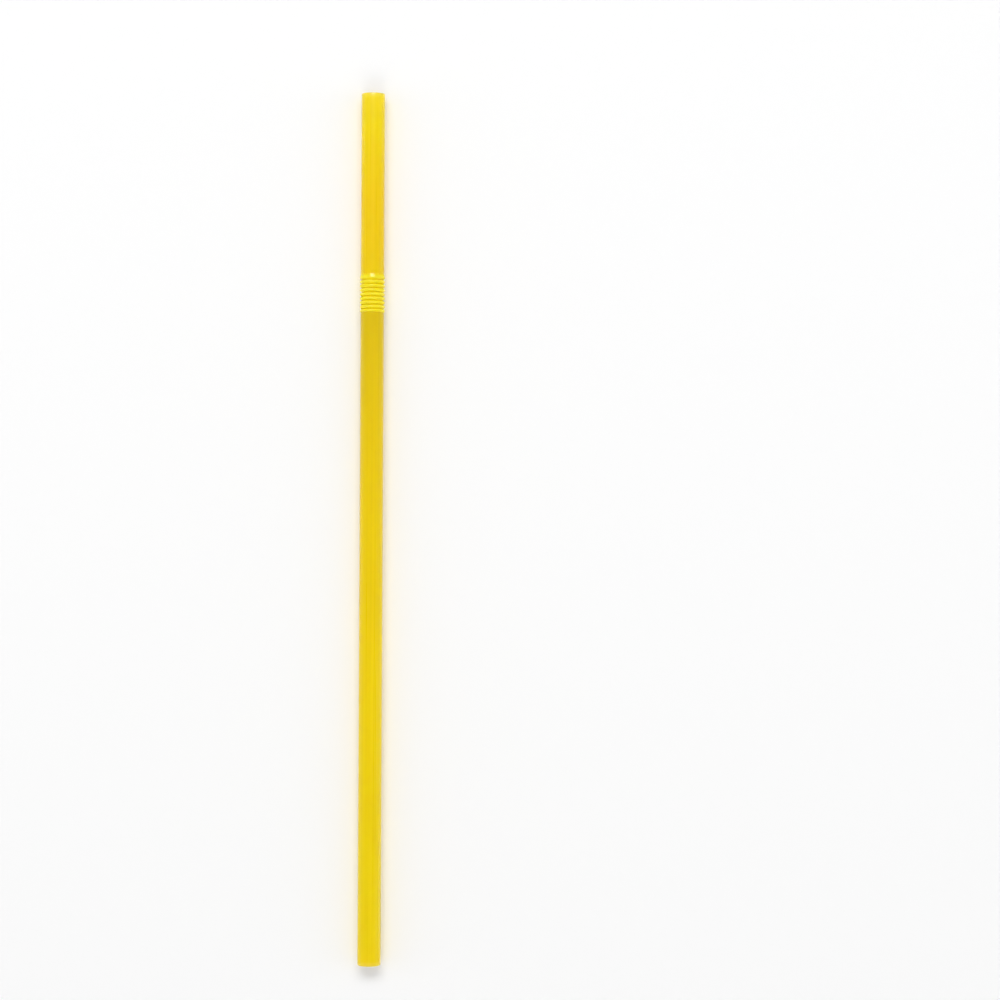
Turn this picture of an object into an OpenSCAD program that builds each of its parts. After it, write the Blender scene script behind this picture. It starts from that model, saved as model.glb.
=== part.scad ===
// Flexible drinking straw, lying on its side with the mouth end towards +Y.
// The folds are pushed together, as they are when the straw is straight.

/* [Tube] */
// Length from cut end to cut end
straw_len = 210; // [140:1:260]
// Plain tube between the mouth end and the folds
mouth_len = 43.4; // [20:0.1:80]
// Outside diameter of the plain tube
tube_od = 5.6; // [4.5:0.1:8]
// Wall thickness, the same in the tube and in the folds
wall = 0.15; // [0.12:0.01:0.2]

/* [Folds] */
// Number of folds
fold_count = 9; // [3:1:16]
// Distance from one crest to the next
fold_pitch = 1; // [0.9:0.01:1.4]
// How far the crests stand out past the tube
crest_rise = 0.2; // [0.1:0.01:0.3]
// Air left in the groove between two folds
fold_gap = 0.07; // [0.04:0.01:0.1]

/* [Ends of the folds] */
// Distance over which the mouth tube flares out to the first crest
shoulder_len = 0.95; // [0.8:0.05:1.5]
// Bend radius where the flare leaves the mouth tube
shoulder_bend = 0.3; // [0.2:0.05:0.6]
// Bend radius where the last crest steps back to the long tube
step_bend = 0.12; // [0.1:0.01:0.2]

/* [Hidden] */

// Furthest that the straight steps of a bend lie from its true arc
bend_sag = 0.035;
// Points of the wall that lie closer than this are one point
same_point = 0.001;
$fn = 96;

// Radii to the middle of the wall. All bend radii are measured there too.
tube_r = (tube_od - wall) / 2;
crest_r = tube_r + crest_rise;

// Each fold is half round, and so is the tight groove that parts it from the next one
groove_bend = (wall + fold_gap) / 2;
crest_bend = fold_pitch / 2 - groove_bend;

// Headings along the wall, in degrees, on the way from the mouth to the foot
straight_out = 0;
straight_down = -90;
straight_in = -180;

// Places along the axis, from the middle of the straw
mouth_y = straw_len / 2;
shoulder_y = mouth_y - mouth_len;
first_crest_y = shoulder_y - shoulder_len;

function crest_centre(k) = [crest_r - crest_bend, first_crest_y - k * fold_pitch];

function groove_centre(k) = crest_centre(k) - [0, fold_pitch / 2];

// The flare is tangent to the tube at its start and to the first fold at its end
shoulder_centre = [tube_r + shoulder_bend, shoulder_y];
flare = crest_centre(0) - shoulder_centre;
flare_out = atan2(flare.y, flare.x) + asin((shoulder_bend + crest_bend) / norm(flare));

// The step down from the last crest is two arcs that run into each other
last = fold_count - 1;
step_turn = acos(1 - crest_rise / (crest_bend + step_bend));
step_in = straight_down - step_turn;
step_drop = (crest_bend + step_bend) * sin(step_turn);
step_centre = [tube_r + step_bend, crest_centre(last).y - step_drop];

// Each bend of the wall: centre, radius, turn (1 outwards, -1 inwards), heading in, heading out
bends = [
    [shoulder_centre, shoulder_bend, 1, straight_down, flare_out],
    for (k = [0:last])
        each [
            [crest_centre(k), crest_bend, -1, k == 0 ? flare_out : straight_out, straight_down],
            [crest_centre(k), crest_bend, -1, straight_down, k == last ? step_in : straight_in],
            if (k < last)
                [groove_centre(k), groove_bend, 1, straight_in, straight_out]
        ],
    [step_centre, step_bend, 1, step_in, straight_down]
];

// Points of a bend on one side of the wall: side 1 is the outside of the straw, -1 the inside
function bend_points(bend, side) =
    let (
        centre = bend[0],
        turn = bend[2],
        from = bend[3],
        sweep = bend[4] - from,
        radius = bend[1] - turn * side * wall / 2,
        steps = radius > bend_sag ? ceil(abs(sweep) / (2 * acos(1 - bend_sag / radius))) : 1
    )
    [
        for (i = [0:steps])
            let (angle = from + sweep * i / steps - turn * 90)
            centre + radius * [cos(angle), sin(angle)]
    ];

// One side of the wall from the mouth end to the foot end
function wall_side(side) =
    let (r = tube_r + side * wall / 2)
    [
        [r, mouth_y],
        for (bend = bends)
            each bend_points(bend, side),
        [r, mouth_y - straw_len]
    ];

function without_repeats(points) =
    [
        for (i = [0:len(points) - 1])
            if (i == 0 || norm(points[i] - points[i - 1]) > same_point)
                points[i]
    ];

function reversed(points) = [for (i = [len(points) - 1:-1:0]) points[i]];

module wall_section() {
    outside = without_repeats(wall_side(1));
    inside = without_repeats(wall_side(-1));
    polygon(concat(outside, reversed(inside)));
}

// The straw lies on its crests
module straw() {
    color([0.95, 0.8, 0.05])
        translate([0, 0, crest_r + wall / 2])
            rotate([-90, 0, 0])
                rotate_extrude()
                    wall_section();
}

straw();
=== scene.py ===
"""Flexible drinking straw: one thin wall of yellow polypropylene, lying on a pale floor."""

import math

import bpy
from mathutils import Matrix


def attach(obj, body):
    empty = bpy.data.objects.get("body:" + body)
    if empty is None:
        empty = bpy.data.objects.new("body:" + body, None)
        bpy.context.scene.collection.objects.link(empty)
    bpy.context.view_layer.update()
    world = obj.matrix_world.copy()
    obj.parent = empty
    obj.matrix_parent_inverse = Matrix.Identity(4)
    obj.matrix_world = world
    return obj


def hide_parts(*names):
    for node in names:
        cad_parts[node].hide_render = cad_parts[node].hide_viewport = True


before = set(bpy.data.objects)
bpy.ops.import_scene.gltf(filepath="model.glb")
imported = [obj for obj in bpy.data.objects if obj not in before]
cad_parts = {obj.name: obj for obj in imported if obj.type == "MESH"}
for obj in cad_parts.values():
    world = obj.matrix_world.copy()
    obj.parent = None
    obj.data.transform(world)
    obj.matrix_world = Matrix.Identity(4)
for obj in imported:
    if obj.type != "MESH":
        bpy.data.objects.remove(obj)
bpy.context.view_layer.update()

# Sizes of the straw in millimetres. The scene is in metres.
STRAW_LEN = 210.0
MOUTH_LEN = 43.4
TUBE_OD = 5.6
WALL = 0.15
FOLD_COUNT = 9
FOLD_PITCH = 1.0
CREST_RISE = 0.2
FOLD_GAP = 0.07
SHOULDER_LEN = 0.95
SHOULDER_BEND = 0.3
STEP_BEND = 0.12
RIM_ROUNDING = 0.03
MM = 0.001

# Radii to the middle of the wall, where all bends are measured too
TUBE_R = (TUBE_OD - WALL) / 2
CREST_R = TUBE_R + CREST_RISE
GROOVE_BEND = (WALL + FOLD_GAP) / 2
CREST_BEND = FOLD_PITCH / 2 - GROOVE_BEND

# The straw lies on its crests, so their outside sets the height of its axis
CREST_OUTSIDE = CREST_R + WALL / 2
AXIS_HEIGHT = CREST_OUTSIDE

# Places along the axis, from the middle of the straw
MOUTH_Y = STRAW_LEN / 2
FOOT_Y = -STRAW_LEN / 2
SHOULDER_Y = MOUTH_Y - MOUTH_LEN
FIRST_CREST_Y = SHOULDER_Y - SHOULDER_LEN
LAST_CREST_Y = FIRST_CREST_Y - (FOLD_COUNT - 1) * FOLD_PITCH

# Rings of points along the two plain tubes, by their distance from the place that each name gives
RINGS_FROM_MOUTH = (0, 1, 4, 12, 24, 36)
RINGS_BEFORE_SHOULDER = (3, 1, 0.3)
RINGS_AFTER_STEP = (0.3, 1, 3, 10, 25, 50, 75, 100, 125)
RINGS_BEFORE_FOOT = (12, 4, 1, 0)

# Fineness of the mesh. Edges sharper than the last angle stay sharp in the shading.
SEGMENTS_ROUND = 112
BEND_STEP = math.radians(16)
LEAST_BEND_STEPS = 2
RIM_SEGMENTS = 2
SHARP_EDGE = math.radians(50)

# Points of the wall's line that lie closer than this are one point
SAME_POINT = 0.0001
# The spin ends no further than this from where it started, and is joined there
SEAM_GAP = 0.001
# Edges this close to a cut end, with as little change of radius, run round its rim
RIM_REACH = 0.01

# Colour of the plain tube at places from the foot end to the mouth end, with painted shade and light
# along it: painted shade deepest just past the folds, painted light towards the mouth end
TUBE_YELLOWS_WITH_PAINTED_SHADE = [
    (FOOT_Y, (0.91, 0.69, 0.003, 1)),
    (-25.0, (0.94, 0.675, 0.001, 1)),
    (25.0, (0.86, 0.615, 0.001, 1)),
    (LAST_CREST_Y - 1.0, (0.755, 0.545, 0.001, 1)),
    (SHOULDER_Y, (0.91, 0.633, 0.001, 1)),
    (MOUTH_Y - 25.0, (0.98, 0.652, 0.001, 1)),
    (MOUTH_Y - 8.0, (1.0, 0.74, 0.002, 1)),
    (MOUTH_Y, (0.96, 0.745, 0.015, 1)),
]

# Other colours of the plastic. The fold and crest yellows are partly whitening from strain and partly
# painted light, with a painted highlight on the crests; the end yellow is painted light.
FOLD_STRAIN_AND_LIGHT_YELLOW = (1.0, 0.77, 0.01, 1)
CREST_STRAIN_AND_HIGHLIGHT_YELLOW = (1.0, 0.79, 0.02, 1)
END_PAINTED_LIGHT_YELLOW = (0.97, 0.82, 0.22, 1)
CUT_YELLOW = (0.98, 0.9, 0.5, 1)
THICK_WALL_TINT = (0.86, 0.84, 0.8, 1)

# Where the colours of the folds and of their crests, both partly painted light, the painted light near
# the ends and the colour of the cut come in, from none to full
FOLDS_BEGIN = (SHOULDER_Y + 0.2, SHOULDER_Y - 0.6)
FOLDS_END = (LAST_CREST_Y - 0.5, LAST_CREST_Y - 0.1)
ON_CREST = (CREST_OUTSIDE - 0.14, CREST_OUTSIDE)
NEAR_END = (MOUTH_Y - 1.4, MOUTH_Y)
ON_CUT = (MOUTH_Y - 0.045, MOUTH_Y - 0.015)

# How strongly the painted light near the ends, the cuts and the uneven wall show
END_PAINTED_LIGHT_SHARE = 0.25
CUT_SHARE = 0.6
THICK_WALL_SHARE = 0.3

# Noise in the plastic, as bumps to the metre along each axis, and the values that it mostly keeps to
DRAWN_LINES = (2200, 9, 2200)
SLOW_CHANGES = (160, 28, 160)
ORANGE_PEEL = (2600, 2600, 2600)
LINE_VALUES = (0.3, 0.7)
SLOW_VALUES = (0.35, 0.65)

# Roughness of the plastic, how much of it the folds have lost, and the bumps in its surface
SMOOTHEST = 0.27
ROUGHEST = 0.33
FOLD_POLISH = 0.07
PEEL_SHARE = 0.25
BUMP_STRENGTH = 0.3
BUMP_HEIGHT = 0.004

# The floor in metres. Between the two distances it turns into an even white ground.
FLOOR_SIZE = 6.0
WHITE_GROUND = (0.25, 0.6)

# Strength of the room's light, which falls off between the two heights of the sky
HORIZON_LIGHT = 0.55
OVERHEAD_LIGHT = 0.1
SKY_HEIGHTS = (0.1, 0.9)

# The camera's place is in metres, its lens and sensor in millimetres
CAMERA_PLACE = (0.03105, 0.00726, 0.546)
CAMERA_TURN = math.radians(0.3)
LENS = 81
SENSOR_WIDTH = 36


def wall_line():
    """The middle of the wall as (radius, y) points, from the mouth end to the foot end."""
    out = 0
    down = -math.pi / 2
    back = -math.pi
    line = []

    def bend(centre_r, centre_y, radius, turn, heading, heading_after):
        """Follows an arc that turns outwards, where turn is 1, or inwards, where it is -1."""
        sweep = heading_after - heading
        steps = max(LEAST_BEND_STEPS, math.ceil(abs(sweep) / BEND_STEP))
        for i in range(steps + 1):
            angle = heading + sweep * i / steps - turn * math.pi / 2
            line.append((centre_r + radius * math.cos(angle), centre_y + radius * math.sin(angle)))

    # Mouth tube
    line += [(TUBE_R, MOUTH_Y - gap) for gap in RINGS_FROM_MOUTH]
    line += [(TUBE_R, SHOULDER_Y + gap) for gap in RINGS_BEFORE_SHOULDER]

    # The flare is tangent to the shoulder's bend and to the first fold
    fold_r = CREST_R - CREST_BEND
    flare_r = fold_r - TUBE_R - SHOULDER_BEND
    flare_y = FIRST_CREST_Y - SHOULDER_Y
    flare_lean = math.asin((SHOULDER_BEND + CREST_BEND) / math.hypot(flare_r, flare_y))
    flare_out = math.atan2(flare_y, flare_r) + flare_lean
    bend(TUBE_R + SHOULDER_BEND, SHOULDER_Y, SHOULDER_BEND, 1, down, flare_out)

    # Half-round folds with tight grooves between them, and a step back to the long tube
    step_turn = math.acos(1 - CREST_RISE / (CREST_BEND + STEP_BEND))
    step_in = down - step_turn
    step_y = LAST_CREST_Y - (CREST_BEND + STEP_BEND) * math.sin(step_turn)
    for fold in range(FOLD_COUNT):
        crest_y = FIRST_CREST_Y - fold * FOLD_PITCH
        last = fold == FOLD_COUNT - 1
        bend(fold_r, crest_y, CREST_BEND, -1, flare_out if fold == 0 else out, down)
        bend(fold_r, crest_y, CREST_BEND, -1, down, step_in if last else back)
        if not last:
            bend(fold_r, crest_y - FOLD_PITCH / 2, GROOVE_BEND, 1, back, out)
    bend(TUBE_R + STEP_BEND, step_y, STEP_BEND, 1, step_in, down)

    # Long tube
    line += [(TUBE_R, step_y - gap) for gap in RINGS_AFTER_STEP]
    line += [(TUBE_R, FOOT_Y + gap) for gap in RINGS_BEFORE_FOOT]

    # Arcs that run into each other share a point
    points = line[:1]
    for point in line[1:]:
        if math.dist(point, points[-1]) > SAME_POINT:
            points.append(point)
    return points


def make_straw():
    """Draws the line of the wall point by point and spins it round the axis."""
    line = wall_line()
    start_r, start_y = line[0]
    bpy.ops.object.select_all(action="DESELECT")
    bpy.ops.mesh.primitive_plane_add(size=MM, location=(0, 0, 0))
    straw = bpy.context.object
    straw.name = "bendy_straw"
    straw.data.name = "bendy_straw"

    bpy.ops.object.mode_set(mode="EDIT")
    bpy.ops.mesh.select_all(action="SELECT")
    bpy.ops.mesh.merge(type="CENTER")
    bpy.ops.transform.translate(value=(start_r * MM, start_y * MM, AXIS_HEIGHT * MM))
    for (r0, y0), (r1, y1) in zip(line, line[1:]):
        move = {"value": ((r1 - r0) * MM, (y1 - y0) * MM, 0)}
        bpy.ops.mesh.extrude_vertices_move(TRANSFORM_OT_translate=move)

    bpy.ops.mesh.select_all(action="SELECT")
    bpy.ops.mesh.spin(
        steps=SEGMENTS_ROUND,
        angle=math.tau,
        center=(0, 0, AXIS_HEIGHT * MM),
        axis=(0, 1, 0),
    )
    bpy.ops.mesh.select_all(action="SELECT")
    bpy.ops.mesh.remove_doubles(threshold=SEAM_GAP * MM)
    bpy.ops.mesh.normals_make_consistent(inside=False)
    bpy.ops.object.mode_set(mode="OBJECT")
    return straw


def point_outwards(straw):
    """Makes the side that faces away from the axis the front, which an open tube leaves undecided."""
    face = straw.data.polygons[0]
    away = face.center.x * face.normal.x + (face.center.z - AXIS_HEIGHT * MM) * face.normal.z
    if away < 0:
        bpy.ops.object.mode_set(mode="EDIT")
        bpy.ops.mesh.select_all(action="SELECT")
        bpy.ops.mesh.flip_normals()
        bpy.ops.object.mode_set(mode="OBJECT")


def thicken(straw):
    """Gives the surface its wall, half to each side, and rounds the edges of both cut ends a little."""
    wall = straw.modifiers.new("wall", "SOLIDIFY")
    wall.thickness = WALL * MM
    wall.offset = 0
    wall.use_even_offset = True
    bpy.ops.object.modifier_apply(modifier="wall")

    mesh = straw.data
    end = (MOUTH_Y - RIM_REACH) * MM
    bpy.ops.object.mode_set(mode="EDIT")
    bpy.ops.mesh.select_mode(type="EDGE")
    bpy.ops.mesh.select_all(action="DESELECT")
    bpy.ops.object.mode_set(mode="OBJECT")
    for edge in mesh.edges:
        a, b = (mesh.vertices[i].co for i in edge.vertices)
        ra, rb = (math.hypot(p.x, p.z - AXIS_HEIGHT * MM) for p in (a, b))
        edge.select = abs(a.y) > end and abs(b.y) > end and abs(ra - rb) < RIM_REACH * MM
    bpy.ops.object.mode_set(mode="EDIT")
    bpy.ops.mesh.bevel(offset=RIM_ROUNDING * MM, segments=RIM_SEGMENTS, affect="EDGES")
    bpy.ops.object.mode_set(mode="OBJECT")
    bpy.ops.object.shade_smooth_by_angle(angle=SHARP_EDGE)


def feed(tree, socket, value):
    """Links a socket to another one, or sets it to a plain value."""
    if isinstance(value, bpy.types.NodeSocket):
        tree.links.new(value, socket)
    else:
        socket.default_value = value


def add_node(tree, kind, **sockets):
    """Adds a shader node and feeds the sockets that are named."""
    node = tree.nodes.new(kind)
    for name, value in sockets.items():
        feed(tree, node.inputs[name.replace("_", " ")], value)
    return node


def ramp_between(tree, source, band, start=0.0, end=1.0):
    """A smooth step from start, at one side of a band of values, to end at the other."""
    node = add_node(
        tree,
        "ShaderNodeMapRange",
        Value=source,
        From_Min=band[0],
        From_Max=band[1],
        To_Min=start,
        To_Max=end,
    )
    node.interpolation_type = "SMOOTHSTEP"
    return node.outputs["Result"]


def mix_colours(tree, factor, first, second, blend="MIX"):
    """Mixes two colours. Each is a socket or a plain colour."""
    node = tree.nodes.new("ShaderNodeMix")
    node.data_type = "RGBA"
    node.blend_type = blend
    for name, kind, value in (("Factor", "VALUE", factor), ("A", "RGBA", first), ("B", "RGBA", second)):
        feed(tree, next(s for s in node.inputs if s.name == name and s.type == kind), value)
    return next(s for s in node.outputs if s.type == "RGBA")


def arithmetic(tree, operation, *values):
    """One sum on values that are sockets or numbers."""
    node = tree.nodes.new("ShaderNodeMath")
    node.operation = operation
    for socket, value in zip(node.inputs, values):
        feed(tree, socket, value)
    return node.outputs["Value"]


def length_of(tree, vector):
    """The length of a vector."""
    node = tree.nodes.new("ShaderNodeVectorMath")
    node.operation = "LENGTH"
    feed(tree, node.inputs[0], vector)
    return node.outputs["Value"]


def noise(tree, place, bumps, detail, roughness):
    """Noise with so many bumps to the metre along each axis."""
    spread = add_node(tree, "ShaderNodeMapping", Vector=place, Scale=bumps)
    node = add_node(
        tree,
        "ShaderNodeTexNoise",
        Vector=spread.outputs["Vector"],
        Scale=1.0,
        Detail=detail,
        Roughness=roughness,
    )
    return node.outputs["Fac"]


def colours_along(tree, along, stops):
    """Blends colours along the straw. Each stop is a place and a colour, from the foot to the mouth."""
    share = add_node(tree, "ShaderNodeMapRange", Value=along, From_Min=FOOT_Y, From_Max=MOUTH_Y)
    node = add_node(tree, "ShaderNodeValToRGB", Fac=share.outputs["Result"])
    elements = node.color_ramp.elements
    elements[0].color = stops[0][1]
    elements[-1].color = stops[-1][1]
    for y, colour in stops[1:-1]:
        elements.new((y - FOOT_Y) / STRAW_LEN).color = colour
    return node.outputs["Color"]


def straw_colour(tree, along, radius, folded, lines, clouds):
    """Yellow that follows the wall's thickness, with painted shade and light along the tube, brighter in
    the folds partly as painted light, paler near the ends as painted light, and an almost white cut.
    """
    # The plain tube's yellow, with painted shade deepest just past the folds and painted light towards
    # the mouth end
    colour = colours_along(tree, along, TUBE_YELLOWS_WITH_PAINTED_SHADE)
    for uneven, values in ((clouds, SLOW_VALUES), (lines, LINE_VALUES)):
        thick = ramp_between(tree, uneven, values, start=THICK_WALL_SHARE, end=0.0)
        colour = mix_colours(tree, thick, colour, THICK_WALL_TINT, "MULTIPLY")

    # The folds are pressed from the same wall: brighter all over and palest on the strained crests,
    # partly from that strain and partly as painted light, with a painted highlight on the crests
    crest_strain_and_highlight = arithmetic(tree, "MULTIPLY", ramp_between(tree, radius, ON_CREST), folded)
    colour = mix_colours(tree, folded, colour, FOLD_STRAIN_AND_LIGHT_YELLOW)
    colour = mix_colours(tree, crest_strain_and_highlight, colour, CREST_STRAIN_AND_HIGHLIGHT_YELLOW)

    # Painted light makes both ends paler, and the cut itself is almost white
    from_middle = arithmetic(tree, "ABSOLUTE", along)
    end_painted_light = ramp_between(tree, from_middle, NEAR_END, end=END_PAINTED_LIGHT_SHARE)
    on_cut = ramp_between(tree, from_middle, ON_CUT, end=CUT_SHARE)
    colour = mix_colours(tree, end_painted_light, colour, END_PAINTED_LIGHT_YELLOW)
    return mix_colours(tree, on_cut, colour, CUT_YELLOW)


def yellow_polypropylene():
    """Translucent yellow plastic with the lines of its extrusion, more polished in the folds."""
    material = bpy.data.materials.new("yellow_polypropylene")
    material.use_nodes = True
    tree = material.node_tree
    plastic = tree.nodes["Principled BSDF"]
    plastic.inputs["IOR"].default_value = 1.49
    plastic.inputs["Specular IOR Level"].default_value = 0.3
    plastic.inputs["Subsurface Weight"].default_value = 0.7
    plastic.inputs["Subsurface Radius"].default_value = (1.0, 0.9, 0.08)
    plastic.inputs["Subsurface Scale"].default_value = 0.2 * MM

    # Place along the axis and distance from it in millimetres. The second tells a crest from a groove.
    place = add_node(tree, "ShaderNodeTexCoord").outputs["Object"]
    parts = add_node(tree, "ShaderNodeSeparateXYZ", Vector=place)
    along = arithmetic(tree, "DIVIDE", parts.outputs["Y"], MM)
    across = add_node(
        tree,
        "ShaderNodeMapping",
        Vector=place,
        Location=(0, 0, -AXIS_HEIGHT * MM),
        Scale=(1, 0, 1),
    )
    radius = arithmetic(tree, "DIVIDE", length_of(tree, across.outputs["Vector"]), MM)

    # Lines that run the whole length as the tube was drawn out, slow changes of its wall, and a fine skin
    lines = noise(tree, place, DRAWN_LINES, detail=3.0, roughness=0.55)
    clouds = noise(tree, place, SLOW_CHANGES, detail=2.0, roughness=0.5)
    skin = noise(tree, place, ORANGE_PEEL, detail=2.0, roughness=0.5)

    # Where the folds are: 1 among them and 0 on the plain tubes
    after_shoulder = ramp_between(tree, along, FOLDS_BEGIN)
    before_step = ramp_between(tree, along, FOLDS_END)
    folded = arithmetic(tree, "MULTIPLY", after_shoulder, before_step)
    colour = straw_colour(tree, along, radius, folded, lines, clouds)
    tree.links.new(colour, plastic.inputs["Base Color"])

    # Pressing the folds has polished them
    rough = ramp_between(tree, lines, LINE_VALUES, start=SMOOTHEST, end=ROUGHEST)
    polish = arithmetic(tree, "MULTIPLY", folded, FOLD_POLISH)
    tree.links.new(arithmetic(tree, "SUBTRACT", rough, polish), plastic.inputs["Roughness"])

    # The lines and a slight orange peel stand in the surface
    height = arithmetic(tree, "ADD", arithmetic(tree, "MULTIPLY", skin, PEEL_SHARE), lines)
    bump = add_node(
        tree,
        "ShaderNodeBump",
        Height=height,
        Strength=BUMP_STRENGTH,
        Distance=BUMP_HEIGHT * MM,
    )
    tree.links.new(bump.outputs["Normal"], plastic.inputs["Normal"])
    return material


def pale_floor():
    """A plain matt table top that takes the straw's shadow, and goes on far from it as a white ground."""
    bpy.ops.object.select_all(action="DESELECT")
    bpy.ops.mesh.primitive_plane_add(size=FLOOR_SIZE, location=(0, 0, 0))
    floor = bpy.context.object
    floor.name = "floor"
    material = bpy.data.materials.new("pale_floor")
    material.use_nodes = True
    tree = material.node_tree
    surface = tree.nodes["Principled BSDF"]
    surface.inputs["Base Color"].default_value = (0.97, 0.97, 0.97, 1)
    surface.inputs["Roughness"].default_value = 0.9
    surface.inputs["Specular IOR Level"].default_value = 0.1

    # The white ground is only looked at and mirrored: it lights nothing
    place = add_node(tree, "ShaderNodeTexCoord").outputs["Object"]
    far = ramp_between(tree, length_of(tree, place), WHITE_GROUND)
    rays = add_node(tree, "ShaderNodeLightPath").outputs
    looked_at = arithmetic(tree, "MAXIMUM", rays["Is Camera Ray"], rays["Is Glossy Ray"])
    white_ground = add_node(tree, "ShaderNodeEmission", Color=(1, 1, 1, 1), Strength=1.0)
    blend = add_node(tree, "ShaderNodeMixShader", Fac=arithmetic(tree, "MULTIPLY", far, looked_at))
    tree.links.new(surface.outputs["BSDF"], blend.inputs[1])
    tree.links.new(white_ground.outputs["Emission"], blend.inputs[2])
    tree.links.new(blend.outputs["Shader"], tree.nodes["Material Output"].inputs["Surface"])
    floor.data.materials.append(material)


def softbox(name, place, size, watts, mirrored=True, lights=True):
    """A soft lamp that faces the straw. It can be kept out of the gloss, or show in the gloss alone."""
    lamp = bpy.data.lights.new(name, "AREA")
    lamp.shape = "RECTANGLE"
    lamp.size, lamp.size_y = size
    lamp.energy = watts
    box = bpy.data.objects.new(name, lamp)
    bpy.context.collection.objects.link(box)
    box.location = place
    box.visible_glossy = mirrored
    box.visible_diffuse = lights
    box.rotation_euler = (-box.location).to_track_quat("-Z", "Y").to_euler()


def studio():
    """Soft lamps above the straw, past its ends and beside it, in a room that is darkest overhead."""
    softbox("lamp_mouth_end", place=(-0.02, 0.75, 1.1), size=(1.1, 0.4), watts=8.0)
    softbox("lamp_glint", place=(-0.02, 0.72, 1.056), size=(0.5, 0.2), watts=6.0, lights=False)
    softbox("lamp_above", place=(0.0, -0.1, 1.4), size=(0.7, 0.7), watts=3.1, mirrored=False)
    softbox("lamp_foot_end", place=(0.0, -0.9, 1.0), size=(1.2, 0.5), watts=3.1)
    softbox("lamp_left", place=(-0.9, 0.0, 0.5), size=(0.6, 1.2), watts=2.6, mirrored=False)
    softbox("lamp_right", place=(0.9, 0.0, 0.5), size=(0.6, 1.2), watts=2.6, mirrored=False)

    # Looked at, the room is plain white
    room = bpy.data.worlds.new("pale_room")
    bpy.context.scene.world = room
    room.use_nodes = True
    tree = room.node_tree
    light = tree.nodes["Background"]
    light.inputs["Color"].default_value = (1, 1, 1, 1)
    way = add_node(tree, "ShaderNodeTexCoord").outputs["Generated"]
    height = add_node(tree, "ShaderNodeSeparateXYZ", Vector=way).outputs["Z"]
    strength = ramp_between(tree, height, SKY_HEIGHTS, start=HORIZON_LIGHT, end=OVERHEAD_LIGHT)
    rays = add_node(tree, "ShaderNodeLightPath").outputs
    seen = arithmetic(tree, "MAXIMUM", rays["Is Camera Ray"], strength)
    tree.links.new(seen, light.inputs["Strength"])


def photo_camera():
    """Looks straight down on the straw, which lies left of the middle of the view."""
    lens = bpy.data.cameras.new("camera")
    lens.lens = LENS
    lens.sensor_width = SENSOR_WIDTH
    camera = bpy.data.objects.new("camera", lens)
    bpy.context.collection.objects.link(camera)
    camera.location = CAMERA_PLACE
    camera.rotation_euler = (0, 0, CAMERA_TURN)
    bpy.context.scene.camera = camera


straw = make_straw()
point_outwards(straw)
thicken(straw)
straw.data.materials.append(yellow_polypropylene())
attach(straw, "root")
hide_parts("straw")

pale_floor()
studio()
photo_camera()
bpy.context.scene.view_settings.view_transform = "Standard"
